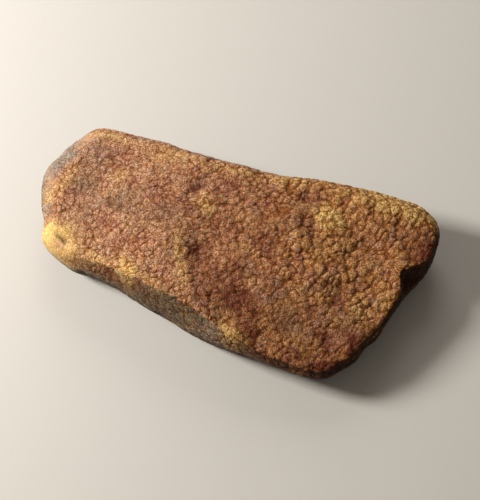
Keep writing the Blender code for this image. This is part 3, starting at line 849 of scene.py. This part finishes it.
class Finish:
    """A material's nodes, made one after another."""

    def __init__(self, name):
        self.material = bpy.data.materials.new(name)
        self.material.use_nodes = True
        self.nodes = self.material.node_tree.nodes
        self.links = self.material.node_tree.links
        self.shader = self.nodes["Principled BSDF"]
        self.place = self.nodes.new("ShaderNodeTexCoord").outputs["Object"]

    def noise(self, width, detail=3.0, roughness=0.6, draw=0.0):
        """Noise from 0 to 1 with lumps of the given width in millimetres; each draw gives another pattern."""
        node = self.nodes.new("ShaderNodeTexNoise")
        node.noise_dimensions = "4D"
        node.inputs["W"].default_value = draw
        node.inputs["Scale"].default_value = 1.0 / (width * MM)
        node.inputs["Detail"].default_value = detail
        node.inputs["Roughness"].default_value = roughness
        self.links.new(self.place, node.inputs["Vector"])
        return node.outputs["Fac"]

    def cells(self, width):
        """How far each place is from the nearest of many scattered seeds, as a part of the given width."""
        node = self.nodes.new("ShaderNodeTexVoronoi")
        node.inputs["Scale"].default_value = 1.0 / (width * MM)
        self.links.new(self.place, node.inputs["Vector"])
        return node.outputs["Distance"]

    def measure(self, name):
        """A number that the skin holds at each point."""
        node = self.nodes.new("ShaderNodeAttribute")
        node.attribute_name = name
        return node.outputs["Fac"]

    def range(self, value, low, high, to_low=0.0, to_high=1.0):
        """The value's range from low to high, stretched to another range and held within it."""
        node = self.nodes.new("ShaderNodeMapRange")
        self.links.new(value, node.inputs["Value"])
        for socket, number in zip(("From Min", "From Max", "To Min", "To Max"), (low, high, to_low, to_high)):
            node.inputs[socket].default_value = number
        return node.outputs["Result"]

    def maths(self, operation, first, second):
        """Two numbers or sockets put together by one operation."""
        node = self.nodes.new("ShaderNodeMath")
        node.operation = operation
        for socket, value in zip(node.inputs, (first, second)):
            if isinstance(value, (int, float)):
                socket.default_value = value
            else:
                self.links.new(value, socket)
        return node.outputs["Value"]

    def blend(self, under, over, share, way="MIX"):
        """Two colours blended by a share."""
        node = self.nodes.new("ShaderNodeMix")
        node.data_type = "RGBA"
        node.blend_type = way
        for socket, value in zip((node.inputs[0], node.inputs[6], node.inputs[7]), (share, under, over)):
            if isinstance(value, (int, float, tuple)):
                socket.default_value = value
            else:
                self.links.new(value, socket)
        return node.outputs[2]

    def mottle(self, under, colour, width, detail, draw, start, full, strength):
        """A colour laid over another in patches of noise."""
        share = self.range(self.noise(width, detail, draw=draw), start, full, 0.0, strength)
        return self.blend(under, colour, share)

    def bump(self, height, distance):
        """The surface's slope from a height, the distance in millimetres."""
        node = self.nodes.new("ShaderNodeBump")
        node.inputs["Strength"].default_value = 1.0
        node.inputs["Distance"].default_value = distance * MM
        self.links.new(height, node.inputs["Height"])
        return node.outputs["Normal"]

    def set(self, **values):
        """Numbers on the shader's own sockets."""
        for name, value in values.items():
            self.shader.inputs[name.replace("_", " ")].default_value = value


def crust_finish():
    """Dull, opaque weathered amber.

    Mottled tan, rose and rust with painted glints, stained ochre, plum, ash and frost, with painted shade
    where shadow falls, darker in its cracks and grain pits by colour and painted shade together, and lighter
    on its grain tips by colour and painted highlight together.
    """
    finish = Finish("weathered_amber_crust")
    colour = finish.blend(TAN, GOLD, finish.measure("gold"))
    # The mottles, the last of them painted highlights.
    for values in MOTTLES:
        colour = finish.mottle(colour, *values)
    # The stains, then the painted shade where shadow falls.
    for number, (name, paint, least) in enumerate(STAIN_PAINTS):
        patchy = finish.range(finish.noise(1.3, draw=5.0 + number), 0.30, 0.62, least, 1.25)
        share = finish.maths("MULTIPLY", finish.measure(name), patchy)
        colour = finish.blend(colour, paint, finish.range(share, 0.0, 1.0))
    colour = finish.mottle(colour, *FLECKS)
    grains = finish.range(finish.cells(GRAIN_CELL), 0.0, 0.75, 1.0, 0.0)
    grit = finish.range(finish.noise(GRIT_WIDTH, 1.0, 0.6, 10.0), 0.28, 0.72)
    coarse = finish.maths("MULTIPLY", grains, GRAIN_SHARE)
    height = finish.maths("ADD", coarse, finish.maths("MULTIPLY", grit, 1.0 - GRAIN_SHARE))
    # Darker in the grains' pits and lighter on their tips: grain colour with painted shade and painted
    # highlight.
    tint = finish.blend(PIT_COLOUR_AND_SHADE_TINT, TIP_COLOUR_AND_HIGHLIGHT_TINT, finish.range(height, 0.22, 0.64))
    rough = finish.range(finish.measure("roughness"), 0.0, 1.0, 0.35, 1.0)
    colour = finish.blend(colour, tint, rough, "MULTIPLY")
    plate_tone = finish.range(finish.measure("plate_tone"), -1.0, 1.0)
    tint = finish.blend(DARK_PLATE_TINT, LIGHT_PLATE_TINT, plate_tone)
    colour = finish.blend(colour, tint, 1.0, "MULTIPLY")
    # Darker in cracks: crack colour and painted shade.
    crevice_colour_and_shade = finish.range(finish.measure("crevice_colour_and_shade"), 0.10, 0.90)
    colour = finish.blend(colour, CREVICE_COLOUR_AND_SHADE_TINT, crevice_colour_and_shade, "MULTIPLY")
    finish.links.new(colour, finish.shader.inputs["Base Color"])
    dullness = finish.range(finish.noise(0.35, 2.0, draw=11.0), 0.3, 0.7, 0.42, 0.78)
    finish.links.new(dullness, finish.shader.inputs["Roughness"])
    slope = finish.bump(finish.maths("MULTIPLY", height, rough), GRAIN_HEIGHT)
    finish.links.new(slope, finish.shader.inputs["Normal"])
    finish.set(Specular_IOR_Level=0.22, Subsurface_Weight=0.35, Subsurface_Scale=0.0003)
    finish.shader.inputs["Subsurface Radius"].default_value = (1.0, 0.45, 0.15)
    finish.shader.inputs["Specular Tint"].default_value = SHEEN
    return finish.material


FLOOR_COLOUR = (0.46, 0.45, 0.43, 1.0)
FLOOR_HALF_WIDTH = 1.5


def floor():
    """A plain pale floor under the piece."""
    half = FLOOR_HALF_WIDTH
    mesh = bpy.data.meshes.new("floor")
    corners = [(-half, -half, 0.0), (half, -half, 0.0), (half, half, 0.0), (-half, half, 0.0)]
    mesh.from_pydata(corners, [], [(0, 1, 2, 3)])
    ground = bpy.data.objects.new("floor", mesh)
    bpy.context.scene.collection.objects.link(ground)
    finish = Finish("floor_paint")
    finish.set(Base_Color=FLOOR_COLOUR, Roughness=0.8, Specular_IOR_Level=0.2)
    mesh.materials.append(finish.material)


# The lights: angles in degrees, distances and sizes in metres, powers in watts.
KEY_AZIMUTH = 189.0
KEY_ELEVATION = 30.0
KEY_DISTANCE = 0.34
KEY_SIZE = 0.08
KEY_POWER = 2.45
KEY_COLOUR = (1.0, 0.95, 0.88)
BACK_AZIMUTH = 112.0
BACK_ELEVATION = 32.0
BACK_DISTANCE = 0.45
BACK_SIZE = 0.25
BACK_POWER = 0.85
FILL = 0.22
FILL_COLOUR = (1.0, 0.88, 0.74, 1.0)


def direction(azimuth, elevation):
    """The unit vector at an angle from +X round to +Y, and above the horizon, in degrees."""
    a, e = np.radians(azimuth), np.radians(elevation)
    return Vector((np.cos(a) * np.cos(e), np.sin(a) * np.cos(e), np.sin(e)))


def area_light(name, azimuth, elevation, distance, size, power, colour):
    """A square soft light that faces the piece."""
    data = bpy.data.lights.new(name, "AREA")
    data.size = size
    data.energy = power
    data.color = colour
    lamp = bpy.data.objects.new(name, data)
    bpy.context.scene.collection.objects.link(lamp)
    way = direction(azimuth, elevation)
    lamp.location = way * distance
    lamp.rotation_euler = way.to_track_quat("Z", "Y").to_euler()


def lights():
    """A raking key light from the left, a soft light from the back, and a low even fill."""
    area_light("key", KEY_AZIMUTH, KEY_ELEVATION, KEY_DISTANCE, KEY_SIZE, KEY_POWER, KEY_COLOUR)
    area_light("back", BACK_AZIMUTH, BACK_ELEVATION, BACK_DISTANCE, BACK_SIZE, BACK_POWER, KEY_COLOUR)
    world = bpy.data.worlds.new("studio")
    bpy.context.scene.world = world
    world.use_nodes = True
    backdrop = world.node_tree.nodes["Background"]
    backdrop.inputs["Color"].default_value = FILL_COLOUR
    backdrop.inputs["Strength"].default_value = FILL


CAMERA_AZIMUTH = 20.0
CAMERA_ELEVATION = 64.0
CAMERA_DISTANCE = 0.273
CAMERA_LENS = 100.0
CAMERA_TARGET = (0.00368, -0.00136, 0.0096)


def camera():
    """The camera above the front right of the piece, looking down on it."""
    data = bpy.data.cameras.new("camera")
    data.lens = CAMERA_LENS
    data.clip_start = 0.01
    eye = bpy.data.objects.new("camera", data)
    bpy.context.scene.collection.objects.link(eye)
    back = direction(CAMERA_AZIMUTH - 90.0, CAMERA_ELEVATION)
    right = direction(CAMERA_AZIMUTH, 0.0)
    axes = Matrix((right, back.cross(right), back)).transposed()
    place = Vector(CAMERA_TARGET) + back * CAMERA_DISTANCE
    eye.matrix_world = Matrix.LocRotScale(place, axes.to_quaternion(), None)
    bpy.context.scene.camera = eye


skin()
floor()
lights()
camera()
bpy.context.scene.view_settings.view_transform = "Standard"
